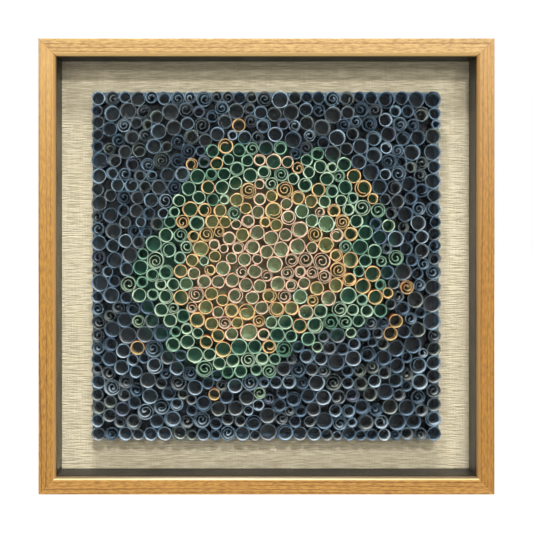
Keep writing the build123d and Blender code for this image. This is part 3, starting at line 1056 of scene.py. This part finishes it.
def dress_inside():
    # One black board in three tones: darker on the top and bottom spacers, lighter on the uprights
    # and lightest on the right one, painted light and shade for how each side is lit.
    level = boarded("black_spacer_level_shaded", tone(24, 21, 17), tone(15, 13, 11), 900.0, 0.44, 0.1)
    left = boarded("black_spacer_upright_lit", tone(40, 36, 30), tone(26, 24, 20), 900.0, 0.36, 0.1)
    right = boarded("black_spacer_right_lit", tone(50, 45, 38), tone(34, 31, 26), 900.0, 0.36, 0.1)
    spacers = {"top": level, "bottom": level, "left": left, "right": right}
    for side, material in spacers.items():
        dress(f"spacer_{side}", material)
    dress("glass_pane", picture_glass())
    dress("base_board", board_paint())
    grey_board = boarded("grey_board", tone(188, 182, 166), tone(150, 144, 130), 800.0, 0.9)
    dress("mount_board", grey_board)


def dress_back():
    hardboard = boarded("hardboard", tone(134, 94, 58), tone(98, 66, 40), 900.0, 0.55)
    felt = boarded("grey_felt", tone(74, 72, 70), tone(46, 45, 44), 1800.0, 0.95, 0.8)
    points = steel("spring_steel", tone(176, 178, 180), tone(120, 118, 114), 500.0)
    zinc = steel("zinc_plated_steel", tone(206, 208, 210), tone(160, 164, 168), 300.0)
    screw = steel("zinc_screw", tone(196, 196, 190), tone(140, 138, 130), 900.0)
    dressed = {
        "back_panel": hardboard,
        "wall_bumpers": felt,
        "framers_points": points,
        "corner_wedges": points,
        "hanger_plate_left": zinc,
        "hanger_plate_right": zinc,
        "hanger_screws": screw,
    }
    for name, material in dressed.items():
        dress(name, material)


# Camera, lamps and stage


def add_camera():
    """Square on to the picture, as the photograph was taken, from a little up and to the left."""
    data = bpy.data.cameras.new("camera")
    half_width = (cad_high.x - cad_low.x) / 2 * photo_side_px / frame_side_px
    data.sensor_width = sensor_side
    data.lens = sensor_side / 2 * camera_distance / half_width
    data.clip_start = camera_near
    data.shift_x = -camera_aside / (2 * half_width)
    data.shift_y = -camera_rise / (2 * half_width)
    camera = bpy.data.objects.new("camera", data)
    camera.location = (camera_aside, cad_low.y - camera_distance, cad_high.z / 2 + camera_rise)
    camera.rotation_euler = (math.pi / 2, 0.0, 0.0)
    bpy.context.scene.collection.objects.link(camera)
    bpy.context.scene.camera = camera


def softbox(name, direction, distance, side, share):
    """A square lamp aimed at the picture, as strong as its share of white on the picture."""
    towards = Vector(direction).normalized()
    data = bpy.data.lights.new(name, "AREA")
    data.shape = "SQUARE"
    data.size = side
    data.color = lamp_colour
    data.energy = share * math.pi**2 * distance**2 / abs(towards.y)
    lamp = bpy.data.objects.new(name, data)
    lamp.location = Vector((0.0, 0.0, cad_high.z / 2)) + towards * distance
    lamp.rotation_euler = towards.to_track_quat("Z", "Y").to_euler()
    bpy.context.scene.collection.objects.link(lamp)


def seen_white(tree):
    """1 for rays that show the stage straight, in a gloss or through glass, and else 0."""
    rays = place(tree, "ShaderNodeLightPath").outputs
    shown = calc(tree, "MAXIMUM", rays["Is Camera Ray"], rays["Is Glossy Ray"])
    shown = calc(tree, "MAXIMUM", shown, rays["Is Transmission Ray"])
    undiffused = calc(tree, "LESS_THAN", rays["Diffuse Depth"], 0.5)
    return calc(tree, "MULTIPLY", shown, undiffused)


def light_world():
    world = bpy.data.worlds.new("studio")
    world.use_nodes = True
    tree = world.node_tree
    shown = seen_white(tree)
    strength = spread(tree, shown, 0.0, 1.0, ambient_level, 1.0)
    colour = mixed_colour(tree, shown, ambient_colour, (1.0, 1.0, 1.0, 1.0))
    feed(tree, tree.nodes["Background"].inputs["Color"], colour)
    feed(tree, tree.nodes["Background"].inputs["Strength"], strength)
    bpy.context.scene.world = world


def lay_floor():
    """A wide pale floor that reads white where no shadow lies, and fades into the distance."""
    mesh = bpy.data.meshes.new("floor")
    corners = ((-1, -1), (1, -1), (1, 1), (-1, 1))
    vertices = [(x * floor_radius, y * floor_radius, 0.0) for x, y in corners]
    mesh.from_pydata(vertices, [], [(0, 1, 2, 3)])
    floor = bpy.data.objects.new("floor", mesh)
    bpy.context.scene.collection.objects.link(floor)
    material, tree, shader = new_material("floor", 0.9, Specular_IOR_Level=0.0)
    shader.inputs["Base Color"].default_value = (floor_albedo, floor_albedo, floor_albedo, 1.0)
    spot = {0: object_place(tree)}
    reach = place(tree, "ShaderNodeVectorMath", spot, operation="LENGTH").outputs["Value"]
    far = spread(tree, reach, shadow_fade_start, shadow_fade_end, floor_top_up, 1.0, smooth=True)
    top_up = calc(tree, "MULTIPLY", far, seen_white(tree))
    feed(tree, shader.inputs["Emission Color"], (1.0, 1.0, 1.0, 1.0))
    feed(tree, shader.inputs["Emission Strength"], top_up)
    mesh.materials.append(material)


add_camera()
for name, setting in lamps.items():
    softbox(name, *setting)
light_world()
lay_floor()
bpy.context.scene.view_settings.view_transform = "Standard"

dress_frame()
dress_inside()
dress_back()
rolled_coils()
stretched_linen()
